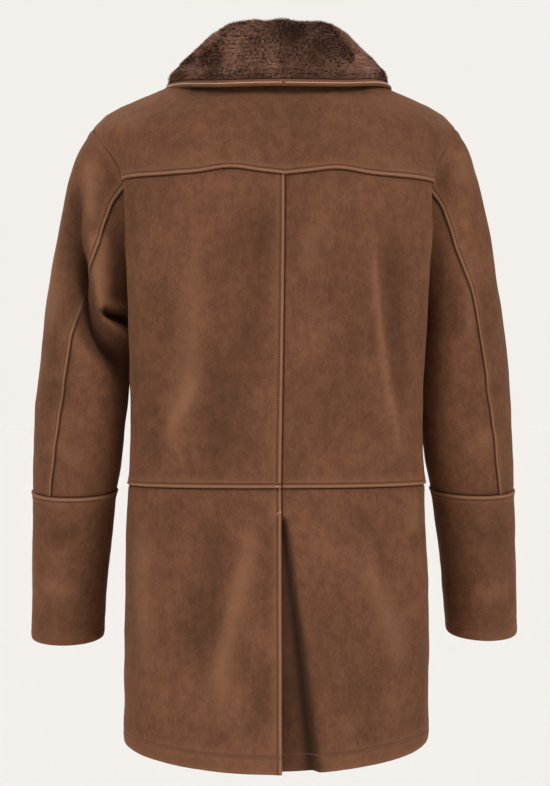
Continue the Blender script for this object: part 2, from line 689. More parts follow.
# %% [markdown]
# ## How the seams are sewn
# Sheepskin is too thick to turn in, so this coat's seams are lapped: one piece's cut edge lies on
# the next and is stitched down. The lap swells behind its cut edge and dips into a groove where
# the thread pulls. An edge below is a height and two tints at set distances in from the cut.

# %% The edges' sections
Edge = namedtuple("Edge", "at high worn groove")
LAP = Edge(
    (0, 0.3, 0.8, 1.6, 2.6, 3.6, 4.2, 4.6, 5.15, 5.7, 6.2, 7.2, 9.5, 13.0, 18.0),
    (-1.0, 0.5, 1.3, 1.75, 1.85, 1.6, 1.2, 0.5, 0.3, 0.5, 0.95, 0.9, 0.5, 0.15, 0),
    (0.1, 0.6, 1.1, 1.5, 1.5, 1.1, 0.6, 0, 0, 0, 0.3, 0.4, 0.3, 0.1, 0),
    (0.6, 0.2, 0, 0, 0, 0, 0.2, 1.0, 1.1, 1.0, 0.2, 0, 0, 0, 0),
)
TUCK = Edge((0, 0.6, 1.6, 3.2, 7), (-1.7, -1.3, -0.6, -0.2, 0), (0,) * 5, (0.9, 0.7, 0.35, 0.1, 0))
PLAIN = Edge((0, 0.7, 1.8, 4, 8), (-0.9, -0.3, 0.1, 0.3, 0), (0, 0.4, 0.5, 0.2, 0), (1, 0.6, 0, 0, 0))
FREE = Edge(
    (0, 0.5, 1.5, 4.0, 6.3, 7.0, 7.7, 10, 15),
    (-1.3, -0.4, 0.1, 0.4, 0.2, -0.35, 0.2, 0.35, 0),
    (0.3, 0.9, 1.0, 0.8, 0.4, 0, 0.4, 0.3, 0),
    (0.6, 0.2, 0, 0, 0.3, 1.0, 0.3, 0, 0),
)
HEM = Edge(
    (0, 0.8, 2.2, 6, 11, 16, 19.0, 19.8, 20.6, 24, 31),
    (-1.2, -0.3, 0.2, 0.6, 0.7, 0.5, 0.1, -0.5, 0.1, 0.35, 0),
    (0.5, 0.8, 0.6, 0.3, 0.2, 0.3, 0.3, 0, 0.3, 0.2, 0),
    (0.3, 0, 0, 0, 0, 0, 0.3, 1.0, 0.3, 0, 0),
)
CUFF = Edge(tuple(d * 0.7 for d in HEM.at), *HEM[1:])
ARMHOLE_SIDE = Edge(
    (0, 0.5, 1.4, 2.4, 3.2, 3.8, 4.6, 7, 11),
    (-0.6, 0.2, 0.8, 0.9, 0.4, 0.0, 0.5, 0.4, 0),
    (0.1, 0.5, 0.9, 0.8, 0.3, 0, 0.3, 0.2, 0),
    (1.0, 0.4, 0, 0, 0.6, 1.0, 0.4, 0, 0),
)
SLEEVE_HEAD = Edge(
    (0, 0.7, 1.8, 4.0, 8.0, 14.0),
    (-0.9, -0.3, 0.3, 0.8, 0.8, 0),
    (0, 0.3, 0.6, 0.4, 0.2, 0),
    (1.0, 0.6, 0.1, 0, 0, 0),
)
NONE = Edge((0, 2.0), (0, 0), (0, 0), (0, 0))
STEP, SLEEVE_STEP = 5.2, 4.2


def ticks(length, start, end, step=STEP):
    """Distances across a piece: close together at its two edges and even between them."""
    near = np.array(start.at, float)
    far = length - np.array(end.at, float)[::-1]
    middle = np.linspace(near[-1], far[0], max(2, round((far[0] - near[-1]) / step)) + 1)
    return np.concatenate([near, middle[1:-1], far])


def stacked(base, more):
    """One edge's heights with another's where they cross, so that neither is doubled."""
    return base + more * (1 - np.clip(np.abs(base) / 1.6, 0, 1))


print("a lap stands", max(LAP.high), "mm proud")

# %% [markdown]
# Each piece is a wall: an outer skin of suede and an inner one of fleece, a few millimetres
# apart, joined round their edges. It starts as a flat grid whose points are moved onto the inner
# skin. The grid is then extruded, and the new points are moved onto the outer skin.

# %% Walls from two skins
skins, rows_of, SHARP = {}, {}, math.radians(52)
LEFT_LOWER, RIGHT_HIGHER, HANG_X, HANG_Z, HANG_OVER = 3.8, 2.2, 160, -160, 70


def finished(name, bm, *materials):
    """The bmesh as an object in the scene, smooth but for its sharp edges."""
    bmesh.ops.recalc_face_normals(bm, faces=bm.faces[:])
    mesh = bpy.data.meshes.new(name)
    bm.to_mesh(mesh)
    bm.free()
    mesh.shade_smooth()
    mesh.set_sharp_from_angle(angle=SHARP)
    for material in materials:
        mesh.materials.append(material)
    piece = bpy.data.objects.new(f"{name}-{materials[0]['stuff']}", mesh)
    bpy.context.scene.collection.objects.link(piece)
    return piece


def askew(points):
    """The points as the coat hangs: its left shoulder a little lower than its right one."""
    x, z = points[..., 0], points[..., 2]
    share = ease(np.abs(x) / HANG_X) * ease((z - HANG_Z) / HANG_OVER)
    drop = np.where(x > 0, -LEFT_LOWER, RIGHT_HIGHER) * share
    return points + np.stack([0 * drop, 0 * drop, drop], axis=-1)


def wall(name, outer, inner, tints, materials, closed=False):
    """A sheet with thickness. tints holds a grid for each named tint, and closed makes a tube."""
    outer, inner = askew(outer), askew(inner)
    skins[name] = outer, inner
    rows, columns = outer.shape[:2]
    if closed:
        outer, inner = (np.concatenate([skin, skin[:, :1]], axis=1) for skin in (outer, inner))
        tints = {key: np.concatenate([grid, grid[:, :1]], axis=1) for key, grid in tints.items()}
        columns += 1
    bm = bmesh.new()
    bmesh.ops.create_grid(bm, x_segments=columns - 1, y_segments=rows - 1, size=1.0)
    place = bm.verts.layers.int.new("place")
    layers = [(bm.verts.layers.float.new(key), grid.ravel().tolist()) for key, grid in tints.items()]
    skin_in, skin_out = ((skin * MM).reshape(-1, 3).tolist() for skin in (inner, outer))
    for vert in bm.verts:
        column = round((vert.co.x + 1) / 2 * (columns - 1))
        row = round((vert.co.y + 1) / 2 * (rows - 1))
        vert[place] = row * columns + column
        vert.co = skin_in[vert[place]]
    if closed:
        bmesh.ops.remove_doubles(bm, verts=bm.verts[:], dist=1e-7)
    inside = bm.faces[:]
    grown = bmesh.ops.extrude_face_region(bm, geom=inside, use_keep_orig=True)
    for vert in grown["geom"]:
        if isinstance(vert, bmesh.types.BMVert):
            vert.co = skin_out[vert[place]]
            for layer, values in layers:
                vert[layer] = values[vert[place]]
    for face in inside:
        face.material_index = 1
    return finished(name, bm, *materials)


def drawn_back(grid, amount):
    """The grid with its four edges drawn back a hair, so that neighbours don't touch."""
    grid = grid.copy()
    for view in (grid, grid[::-1], grid.swapaxes(0, 1), grid.swapaxes(0, 1)[::-1]):
        view[0] += unit(view[1] - view[0]) * amount
    return grid


SEAM_HALF = 0.02
MITRE = 14.0
print("neighbours are", 2 * SEAM_HALF, "mm apart at a seam")

# %% [markdown]
# ## Finishes worked out from nodes
# A finish starts from a few constants of the shader, such as its roughness, and works out what
# varies from nodes. The first of two small classes wraps a number in a finish, so that maths on it
# is written as ordinary sums.

# %% A number in a finish


class Value:
    """A number in a finish, which can be added, multiplied and so on."""

    def __init__(self, finish, socket):
        self.finish, self.socket = finish, socket

    def math(self, operation, *others):
        """This and other numbers through a Math node."""
        return self.finish.node("ShaderNodeMath", {"operation": operation}, (self, *others))

    def __add__(self, other):
        return self.math("ADD", other)

    def __sub__(self, other):
        return self.math("SUBTRACT", other)

    def __mul__(self, other):
        return self.math("MULTIPLY", other)

    def __rsub__(self, other):
        return self.math("MULTIPLY_ADD", -1.0, other)

    __radd__, __rmul__ = __add__, __mul__

    def between(self, low, high):
        """0 below low, 1 above high and a soft step between."""
        settings = {"interpolation_type": "SMOOTHSTEP"}
        return self.finish.node("ShaderNodeMapRange", settings, (self, low, high, 0.0, 1.0))


print("a number takes", [name for name in vars(Value) if name.startswith("__r")], "too")

# %% [markdown]
# The second one is the finish itself. All its nodes come from one method, which takes a node's
# kind, its settings and its inputs.

# %% A finish made of nodes


class Finish:
    """A material whose look is worked out from nodes."""

    def __init__(self, stuff, **constants):
        self.material = bpy.data.materials.new(f"worn {stuff}")
        self.material["stuff"] = stuff
        self.material.use_nodes = True
        self.tree = self.material.node_tree
        self.shader = self.tree.nodes["Principled BSDF"]
        for name, value in constants.items():
            self.shader.inputs[name.replace("_", " ")].default_value = value

    def join(self, value, socket):
        """Links a value to a socket, or sets the socket to a plain number or colour."""
        if isinstance(value, Value):
            self.tree.links.new(value.socket, socket)
        else:
            socket.default_value = value

    def node(self, kind, settings, values=(), output=0, **named):
        """A node with its settings, then its inputs in order or by name, read at one output."""
        made = self.tree.nodes.new(kind)
        for name, value in settings.items():
            setattr(made, name, value)
        sockets = {socket.identifier: socket for socket in made.inputs}
        for value, socket in zip(values, made.inputs):
            self.join(value, socket)
        for name, value in named.items():
            self.join(value, sockets[name])
        outputs = {socket.identifier: socket for socket in made.outputs}
        return Value(self, outputs[output] if isinstance(output, str) else made.outputs[output])

    def tint(self, name):
        """A piece's own tint at each point."""
        return self.node("ShaderNodeAttribute", {"attribute_name": name}, output="Fac")

    def noise(self, scale, detail=2.0, roughness=0.5, stretch=(1.0, 1.0, 1.0), warp=0.0):
        """Soft noise in the object's own space, from 0 to 1, stretched along its axes."""
        where = self.node("ShaderNodeTexCoord", {}, output="Object")
        place = self.node("ShaderNodeVectorMath", {"operation": "MULTIPLY"}, (where, stretch))
        named = {"Vector": place, "Scale": scale, "Detail": detail, "Roughness": roughness}
        return self.node("ShaderNodeTexNoise", {}, Distortion=warp, **named)

    def mixed(self, share, first, second, way="MIX"):
        """A colour between two others."""
        settings = {"data_type": "RGBA", "blend_type": way}
        named = {"Factor_Float": share, "A_Color": first, "B_Color": second}
        return self.node("ShaderNodeMix", settings, output="Result_Color", **named)

    def bumped(self, height, depth, under=None):
        """The surface with a height pressed into it, in metres."""
        named = {"Height": height, "Distance": depth, "Strength": 1.0}
        if under is not None:
            named["Normal"] = under
        return self.node("ShaderNodeBump", {}, **named)

    def wear(self, **sockets):
        """Feeds the shader's sockets and gives the material back."""
        for name, value in sockets.items():
            self.join(value, self.shader.inputs[name.replace("_", " ")])
        return self.material


def colour(red, green, blue):
    """An everyday colour, out of 255, as the linear one that a shader takes."""
    shares = np.array([red, green, blue]) / 255
    linear = np.where(shares <= 0.04045, shares / 12.92, ((shares + 0.055) / 1.055) ** 2.4)
    return (*linear.tolist(), 1.0)


print("brown is", [round(v, 3) for v in colour(120, 80, 55)])

# %% [markdown]
# Suede is matt and slightly downy, so it takes a broad sheen. Its colour clouds over a hand's
# breadth, from a reddish to an olive brown, with smaller blotches where the nap lies differently.
# Seam laps are rubbed paler on their crests and stay dark in their grooves.

# %% The suede
finish = Finish("suede", Roughness=0.92, Sheen_Weight=0.22, Sheen_Roughness=0.45)
finish.shader.inputs["Specular IOR Level"].default_value = 0.12
finish.shader.inputs["Sheen Tint"].default_value = colour(212, 164, 124)
clouds = finish.noise(9.0, 3.0, 0.55, (1, 1, 0.8), 0.3).between(0.34, 0.66)
blotches = finish.noise(30.0, 5.0, 0.6, (1, 1, 0.7), 0.5).between(0.32, 0.68)
flecks = finish.noise(95.0, 4.0, 0.65, (1, 1, 0.7), 0.3).between(0.35, 0.65)
nap = finish.noise(520.0, 3.0, 0.6, (1, 1, 0.42))
grain = finish.noise(1500.0, 2.0, 0.7, (1, 1, 0.6))
tone = finish.mixed(clouds, colour(104, 69, 49), colour(117, 77, 55))
tone = finish.mixed(blotches * 0.36, tone, colour(88, 58, 42))
light = finish.noise(20.0, 5.0, 0.62, (1, 1, 0.7), 0.5).between(0.5, 0.75)
tone = finish.mixed(light * 0.26, tone, colour(138, 95, 69))
dark = finish.mixed(1.0, tone, (0.74, 0.73, 0.72, 1), "MULTIPLY")
pale = finish.mixed(1.0, tone, (1.26, 1.25, 1.24, 1), "MULTIPLY")
down = (nap - 0.5) * 0.5 + (grain - 0.5) * 0.35 + (flecks - 0.5) * 0.18
tone = finish.mixed((down + 0.5).between(0.2, 0.8), dark, pale)
tone = finish.mixed(finish.tint("worn") * 0.5, tone, colour(154, 108, 80))
tone = finish.mixed(finish.tint("groove") * 0.8, tone, colour(46, 29, 20))
height = finish.noise(70.0, 3.0, 0.5, (1, 1, 0.8)) * 0.0013 + nap * 0.00014 + grain * 0.00005
suede = finish.wear(Base_Color=tone, Normal=finish.bumped(height, 1.0))
print("suede has", len(finish.tree.nodes), "nodes")

# %% [markdown]
# The fleece is the same hide's other side: short curls, paler on top, pressed in by a bump. The
# collar's longer wool is modelled as strands, so its wall only needs a dark underwool. A strand
# runs from a dark root to a pale tip, and whole patches of the wool are darker than others.

# %% Fleece, underwool and strands
finish = Finish("fleece", Roughness=0.95, Sheen_Weight=0.4, Sheen_Roughness=0.4)
curls = finish.noise(190.0, 4.0, 0.65, warp=1.2)
tone = finish.mixed(curls.between(0.3, 0.7), colour(62, 40, 30), colour(132, 96, 78))
fleece = finish.wear(Base_Color=tone, Normal=finish.bumped(curls * 0.004, 1.0))

finish = Finish("fur", Roughness=0.95)
locks = finish.noise(60.0, 3.0, 0.6)
fur = finish.wear(Base_Color=finish.mixed(locks, colour(48, 28, 21), colour(84, 54, 42)))

finish = Finish("strands", Roughness=0.55)
finish.shader.inputs["Specular IOR Level"].default_value = 0.2
patch = finish.noise(24.0, 3.0, 0.55, warp=0.6).between(0.35, 0.65)
patch = (patch * 0.5 + 0.5) * (1 - finish.tint("dark"))
root = finish.mixed(patch, colour(36, 19, 13), colour(92, 58, 45))
top = finish.mixed(patch, colour(72, 43, 31), colour(168, 120, 98))
top = finish.mixed(finish.tint("tone") * 0.5 * patch, top, colour(205, 156, 128))
wool = finish.wear(Base_Color=finish.mixed(finish.tint("tip").between(0.05, 0.9), root, top))
print("wool has", len(finish.tree.nodes), "nodes")

# %% [markdown]
# The buttons are of streaked horn, polished a little. The thread is paler than the suede, and
# the needle's holes are simply dark.

# %% Horn and thread
finish = Finish("horn", Roughness=0.32, Coat_Weight=0.3)
streaks = finish.noise(160.0, 4.0, 0.6, (1, 1, 0.3), 0.6)
horn = finish.wear(Base_Color=finish.mixed(streaks, colour(38, 24, 18), colour(86, 60, 42)))
thread = Finish("thread", Roughness=0.6, Base_Color=colour(182, 128, 94)).material
bright_thread = Finish("pale_thread", Roughness=0.6, Base_Color=colour(255, 214, 182)).material
needle_hole = Finish("shade", Roughness=1.0, Base_Color=colour(30, 17, 11)).material
print("finishes:", [m.name for m in (suede, fleece, fur, horn, thread)])

# %% [markdown]
# ## The body
# Two rules keep a wall's inner skin whole at its edges. At the side and shoulder seams both
# pieces lean the same way, halfway between their own ways in. At the armhole they lean halfway
# between the body's way in and the sleeve's.

# %% Which way a body wall goes in
FAR = 99.0


def armhole_in(angle):
    """The way in from the armhole seam that halves the corner between body and sleeve."""
    sheet = back if angle >= 0 else front
    row = np.interp(abs(angle), ARMHOLE_ANGLES[::-1], ARMHOLE_ROWS[::-1])
    body = sheet.normal(1.0, row)
    middle = unit(body + sleeve.normal((angle % 360) / 360, 0.0))
    if abs(angle) == 180:
        middle = unit(middle * (1, 0, 1))
    return -middle * min(1.4, 1 / max(0.3, float(middle @ body)))


def body_skins(sheet, s, t, to_edge, to_top):
    """The place and the way in at each point. Both are for the wearer's left."""
    place, way_in = sheet.point(s, t), -sheet.normal(s, t)
    shared = -unit(back.normal(s, t) + front.normal(s, t))
    edge_in = shared.copy()
    angles = np.interp(t, ARMHOLE_ROWS, ARMHOLE_ANGLES) * (1 if sheet is back else -1)
    for row in np.flatnonzero(t[:, 0] >= ARMPIT_ROW):
        mirror = np.where(s[row, :, None] < 0, (-1.0, 1.0, 1.0), (1.0, 1.0, 1.0))
        edge_in[row] = armhole_in(angles[row, 0]) * mirror
    at_edge = np.clip(1 - to_edge / MITRE, 0, 1)[..., None]
    way_in = way_in * (1 - at_edge) + edge_in * at_edge
    to_axis = unit((0, NECK_AXIS_Y, 0) - place * (1, 1, 0))
    at_neck = ease((NECK_SHARE + 0.02 - np.abs(s)) / 0.04)[..., None]
    top_in = to_axis * at_neck + shared * (1 - at_neck)
    at_top = np.clip(1 - to_top / MITRE, 0, 1)[..., None] * (1 - at_edge)
    return place, way_in * (1 - at_top) + top_in * at_top


print("the way in is shared over", MITRE, "mm at a seam")

# %% [markdown]
# One function makes any wall of the body from its grid of places. It adds up what the piece's
# edges and the creases do. The coat sits a little askew, so the back's centre seam also wanders
# aside towards the yoke.

# %% A wall of the body


def edged(pairs, shape):
    """The height and the two tints that a piece's edges give it, from (distances, edge) pairs."""
    high, worn, groove = (np.zeros(shape) for _ in range(3))
    for distance, edge in pairs:
        high = stacked(high, np.interp(distance, edge.at, edge.high))
        worn = np.maximum(worn, np.interp(distance, edge.at, edge.worn))
        groove = np.maximum(groove, np.interp(distance, edge.at, edge.groove))
    return high, worn, groove


CENTRE_ASIDE, ASIDE_ROWS, ASIDE_SHARES = -4.4, (2, 3, 5.5, 8, 9.6, 11), (0, 0.1, 0.7, 1, 0.8, 0)
ARMHOLE_CALM, TOP_CALM, SUNK_FLAT = 34.0, 30.0, 0.85


def body_piece(name, sheet, side, s, t, pairs, to_edge=FAR, to_top=FAR, sink=0.0, shade=0.0):
    """A wall of the body: on the wearer's left, or mirrored to the right when side is -1."""
    grids = np.broadcast_arrays(s, t, to_edge, to_top, sink)
    s, t, to_edge, to_top, sink = (np.array(grid) for grid in grids)
    flip = np.array([side, 1.0, 1.0])
    place, way_in = body_skins(sheet, s, t, to_edge, to_top)
    high, worn, groove = edged(pairs, s.shape)
    high_up = ease((t - ARMPIT_ROW + 1.0) / 1.2)
    fade = (1 - high_up * (1 - ease(to_edge / ARMHOLE_CALM))) * ease(to_top / TOP_CALM)
    swell, crease = relief(place * flip, sheet.normal(s, t) * flip, CREASES)
    swell = swell * fade + sink
    worn, groove = rubbed(worn, groove, crease * fade)
    groove = np.maximum(groove, shade)
    high = high * (1 - SUNK_FLAT * np.clip(-sink / FRONT_UNDER, 0, 1))
    aside = CENTRE_ASIDE * (sheet is back) * np.interp(t, ASIDE_ROWS, ASIDE_SHARES) * (1 - s**2) ** 2
    aside = np.stack([aside, 0 * aside, 0 * aside], axis=-1)
    outer = drawn_back(place - way_in * (high + swell)[..., None], SEAM_HALF) * flip + aside
    inner = drawn_back(place + way_in * (WALL - swell)[..., None], SEAM_HALF) * flip + aside
    rows_of[name] = t[:, -1]
    return wall(name, outer, inner, {"worn": worn, "groove": groove}, (suede, fleece))


print("the centre seam wanders", -CENTRE_ASIDE, "mm aside")

# %% [markdown]
# A piece's grid is laid out in millimetres from its own edges, close together where a lap's
# section needs it and wider between.

# %% How a body piece is laid out


def up_rows(sheet, first, last, bottom, top, s=0.3):
    """Rows of a piece, with each one's distance from the piece's bottom and from its top."""
    t = np.linspace(first, last, 500)
    far = along(sheet.point(np.full_like(t, s), t))
    length = far[-1]
    places = ticks(length, bottom, top)
    rows = np.interp(LAP_START + places * (1 - LAP_START / length), far, t)
    return rows[:, None], places[:, None], (length - places)[:, None]


def over_columns(sheet, row, start, end, before=0.0):
    """Columns of a piece from the centre out, or from before it, and how far each is from both
    ends on one row."""
    length = sheet.width(row) + before
    places = ticks(length, start, end)
    return sheet.s_at(places - before, row)[None, :], places[None, :], (length - places)[None, :]


def outer_edges(distance, t):
    """A body piece's outer edge: the side seam below the armpit, and the armhole above it."""
    below = np.where(t < ARMPIT_ROW, distance, FAR)
    return [(below, PLAIN), (np.where(t < ARMPIT_ROW, FAR, distance), ARMHOLE_SIDE)]


LAP_START, FRONT_UNDER = 0.35, 5.2
print("a lap starts", LAP_START, "mm from the seam")

# %% [markdown]
# The yoke is one piece from armhole to armhole, and both back panels tuck under its lap. The left
# panel laps over the right one down the centre, and the left skirt's edge runs on down as the
# outer edge of the vent.

# %% The yoke, the back panels and the left back skirt
t, from_bottom, from_top = up_rows(back, YOKE_ROW, SHOULDER_ROW, LAP, PLAIN, 0.5)
half, _, to_edge = (grid[0] for grid in over_columns(back, 9.5, NONE, ARMHOLE_SIDE))
s = np.concatenate([-half[:0:-1], half])[None, :]
to_edge = np.concatenate([to_edge[:0:-1], to_edge])[None, :]
edges = [(from_bottom, LAP), (np.where(np.abs(s) > NECK_SHARE, from_top, FAR), PLAIN)]
body_piece("back_yoke", back, 1, s, t, [*edges, (to_edge, ARMHOLE_SIDE)], to_edge, from_top)

t, from_bottom, from_top = up_rows(back, WAIST_ROW, YOKE_ROW, LAP, TUCK)
for side, name, edge in ((1, "back_left", LAP), (-1, "back_right", TUCK)):
    s, from_centre, to_edge = over_columns(back, 7, edge, ARMHOLE_SIDE)
    edges = [(from_centre, edge), (from_bottom, LAP), (from_top, TUCK)]
    body_piece(name, back, side, s, t, [*edges, *outer_edges(to_edge, t)], to_edge)

t, from_bottom, from_top = up_rows(back, 0, WAIST_ROW, HEM, TUCK)
s, from_centre, to_edge = over_columns(back, 1, LAP, PLAIN)
edges = [(from_centre, LAP), (from_bottom, HEM), (from_top, TUCK), (to_edge, PLAIN)]
body_piece("back_skirt_left", back, 1, s, t, edges, to_edge)
print("the back's pieces:", [name for name in skins])

# %% [markdown]
# Below the vent's top, the right skirt's edge no longer meets the left one's. It runs on under
# it and sinks towards the hem, so that the vent falls open as a dark wedge.

# %% The right back skirt and its vent
VENT_TUCKED_ROW, VENT_SUNK_ROW, VENT_CLOSED_ROW = 2.5, 2.64, 2.73
RAMP_SHADE, RAMP_SHADE_AT, UNDER_SHADE, EVEN_FROM = 0.95, 0.7, 0.55, 70
width = back.width(1)
tucked = np.clip((VENT_SUNK_ROW - t) / (VENT_SUNK_ROW - VENT_TUCKED_ROW), 0, 1)
sunk = ease((VENT_CLOSED_ROW - t) / (VENT_CLOSED_ROW - VENT_SUNK_ROW))
closed_near = np.array([0, 0.6, 1.6, 3.2, 5, 7, 9, 11, 13.5, 16])
open_near = np.array([-VENT_UNDERLAP, -32, -22, -8, 0, 2.2, 4.6, 7.5, 11.5, 16])
near = open_near * tucked + closed_near * (1 - tucked)
rest = [np.arange(18.5, EVEN_FROM, 2.5), EVEN_FROM + ticks(width - EVEN_FROM, NONE, PLAIN)]
rest = np.concatenate(rest)
x = np.concatenate([near, np.tile(rest, (len(t), 1))], axis=1)
s, t = back.s_at(x, 1), np.repeat(t, x.shape[1], axis=1)
place = back.point(s, t)
down = np.clip((VENT_TOP_Z - place[..., 2]) / (VENT_TOP_Z - BACK[0].centre_z), 0, 1)
open_x = VENT_OPEN_TOP + (VENT_OPEN_HEM - VENT_OPEN_TOP) * down
depth = VENT_DEPTH_TOP + (VENT_DEPTH_HEM - VENT_DEPTH_TOP) * down
ramp = VENT_RAMP_TOP + (VENT_RAMP_HEM - VENT_RAMP_TOP) * down
past = (open_x + ramp - place[..., 0]) / ramp
sink = -depth * ease(past) * sunk
shade = sunk * (RAMP_SHADE * np.exp(-((past - RAMP_SHADE_AT) ** 2)) + UNDER_SHADE * ease(past / 2))
from_edge = x - x[:, :1]
to_edge = width - x
is_open = tucked > 0.5
edges = [(np.where(is_open, FAR, from_edge), TUCK), (np.where(is_open, from_edge, FAR), FREE)]
edges += [(from_bottom, HEM), (from_top, TUCK), (to_edge, PLAIN)]
body_piece("back_skirt_right", back, -1, s, t, edges, to_edge, sink=sink, shade=shade)
print("the vent falls open", VENT_OPEN_HEM, "mm at the hem")

# %% [markdown]
# The left front laps 30 mm over the centre, and the right front's edge runs under it. Both fronts
# hang straight to the waist seam, and the skirts go on below it.

# %% The fronts and their skirts
rows_above = up_rows(front, WAIST_ROW, SHOULDER_ROW, LAP, PLAIN, 0.45)
rows_below = up_rows(front, 0, WAIST_ROW, HEM, TUCK)
for side, name in ((1, "left"), (-1, "right")):
    for part, rows, row in (("front", rows_above, 7.5), ("front_skirt", rows_below, 1)):
        t, from_bottom, from_top = rows
        outer_edge = ARMHOLE_SIDE if part == "front" else PLAIN
        s, from_edge, to_edge = over_columns(front, row, FREE, outer_edge, FRONT_OVERLAP)
        past_ramp = (2 * FRONT_OVERLAP + FRONT_RAMP - from_edge) / FRONT_RAMP
        sink = -FRONT_UNDER * ease(past_ramp) * (side < 0)
        edges = [(from_edge, FREE), *outer_edges(to_edge, t)]
        if part == "front":
            edges += [(from_bottom, LAP), (np.where(s > NECK_SHARE, from_top, FAR), PLAIN)]
        else:
            edges += [(from_bottom, HEM), (from_top, TUCK)]
        top = from_top if part == "front" else FAR
        body_piece(f"{part}_{name}", front, side, s, t, edges, to_edge, top, sink)
print("the body has", len([o for o in bpy.data.objects if "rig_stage" not in o]), "pieces so far")

# %% [markdown]
# ## The sleeves
# Each upper sleeve has two pieces, wide over the top and narrow underneath, lapped along the
# back. The forearm is a tube that laps over them at the elbow.

# %% A wall of a sleeve
SEAM_ROWS, BACK_SEAM, FRONT_SEAM = smooth_rows(SLEEVE_SEAMS, PER_ROW).T
TOP_WIDTH, UNDER_WIDTH, FOREARM_ROUND, HEAD_GAP, HEAD_CALM = 300.0, 150.0, 90, 0.3, 30.0
RIGHT_SWING, SWING_FROM_Z, SWING_OVER = 6.5, -490, 240


def sleeve_piece(name, side, angles, t, pairs, from_top, closed=False):
    """A wall of the sleeve, mitred at the armhole."""
    flip = np.array([side, 1.0, 1.0])
    s, t, from_top = (np.array(g) for g in np.broadcast_arrays((angles % 360) / 360, t, from_top))
    place, normal = sleeve.point(s, t), sleeve.normal(s, t)
    way_in = -normal
    if not closed:
        turns = (angles[0] + 180) % 360 - 180
        head_in = np.array([armhole_in(turn) for turn in turns])[None]
        share = np.clip(1 - from_top / MITRE, 0, 1)[..., None]
        way_in = way_in * (1 - share) + head_in * share
    high, worn, groove = edged(pairs, s.shape)
    swell, crease = relief(place * flip, normal * flip, SLEEVE_CREASES)
    calm = ease(from_top / HEAD_CALM)
    swell, crease = swell * calm, crease * calm
    outer = place - way_in * (high + swell)[..., None]
    inner = place + way_in * (WALL - swell)[..., None]
    if not closed:
        outer, inner = drawn_back(outer, SEAM_HALF), drawn_back(inner, SEAM_HALF)
    worn, groove = rubbed(worn, groove, crease)
    tints = {"worn": worn, "groove": groove}
    outer, inner = outer * flip, inner * flip
    if side < 0:
        for skin in (outer, inner):
            skin[..., 0] -= RIGHT_SWING * ease((SWING_FROM_Z - skin[..., 2]) / SWING_OVER)
    return wall(name, outer, inner, tints, (suede, fleece), closed)


print("the right forearm swings out", RIGHT_SWING, "mm")

# %% [markdown]
# The sleeve's back seam wanders as it does on the body's side, so its angle is read from a table
# for each row. The top piece's lap lies on the under piece all the way down.

# %% The sleeves' pieces
t = np.linspace(0, ELBOW_ROW, 500)
far = along(sleeve.point(np.full_like(t, 0.2), t))
places = ticks(far[-1] - HEAD_GAP, SLEEVE_HEAD, TUCK, SLEEVE_STEP)
rows = np.interp(HEAD_GAP + places, far, t)[:, None]
from_head, from_elbow = places[:, None], (far[-1] - HEAD_GAP - places)[:, None]
back_angle = np.interp(rows, SEAM_ROWS, BACK_SEAM)
front_angle = np.interp(rows, SEAM_ROWS, FRONT_SEAM)
top_at = ticks(TOP_WIDTH, LAP, PLAIN, SLEEVE_STEP)[None, :]
top_angles = back_angle + (front_angle - back_angle) * (LAP_START + top_at) / (TOP_WIDTH + LAP_START)
under_at = ticks(UNDER_WIDTH, TUCK, PLAIN, SLEEVE_STEP)[None, :]
under_angles = back_angle + (front_angle + 360 - back_angle) * under_at / UNDER_WIDTH
for side, name in ((1, "left"), (-1, "right")):
    ends = [(from_head, SLEEVE_HEAD), (from_elbow, TUCK)]
    pairs = [(top_at, LAP), (TOP_WIDTH - top_at, PLAIN), *ends]
    sleeve_piece(f"sleeve_top_{name}", side, top_angles, rows, pairs, from_head)
    pairs = [(under_at, TUCK), (UNDER_WIDTH - under_at, PLAIN), *ends]
    sleeve_piece(f"sleeve_under_{name}", side, under_angles, rows, pairs, from_head)
    t = np.linspace(ELBOW_ROW, CUFF_ROW, 300)
    far = along(sleeve.point(np.full_like(t, 0.2), t))
    places = ticks(far[-1] - LAP_START, LAP, CUFF, SLEEVE_STEP)
    tube_rows = np.interp(LAP_START + places, far, t)[:, None]
    to_cuff = (far[-1] - LAP_START - places)[:, None]
    around = np.linspace(0, 360, FOREARM_ROUND, endpoint=False)[None, :]
    pairs = [(places[:, None], LAP), (to_cuff, CUFF)]
    sleeve_piece(f"forearm_{name}", side, around, tube_rows, pairs, FAR, closed=True)
print("the sleeves measure", round(far[-1]), "mm from elbow to cuff")

# %% [markdown]
# ## The collar
# The collar is sheepskin worn wool side out: a short stand round the neck, a fold, and a deep
# fall. Under the strands its wall is lumpy, since the wool grows in locks. At its foot, inside
# the neck, the wool hangs a little way down over the seam and hides it.

# %% The collar's two halves
collar_length = collar.width(0)
fur_end = 1 - BINDING_WIDTH / collar_length
COLLAR_ROWS, WOOL_SHARE, COLLAR_ASIDE = 72, 0.6, np.array([-4.2, 0.0, 0.0])
LOCKS = ((SoftNoise(16.0, 21), 1.5), (SoftNoise(7.0, 22), 0.8))
FOOT_OUT, FOOT_DOWN = (4.8, 5.4, 6.6, 7.0), (0.0, 4.0, 3.5, 0.0)


def pile_at(s):
    """How high the wool stands at a place across the collar."""
    return PILE * np.interp(s / fur_end, PILE_PLACES, PILE_SHARES)


def woolly(place, normal, pile):
    """The wall's wool side, below the tips of the strands."""
    lumps = sum(height * noise.at(place) for noise, height in LOCKS)
    high = np.maximum(pile * WOOL_SHARE + lumps * pile / PILE, 1.0)
    return place + normal * high[..., None]


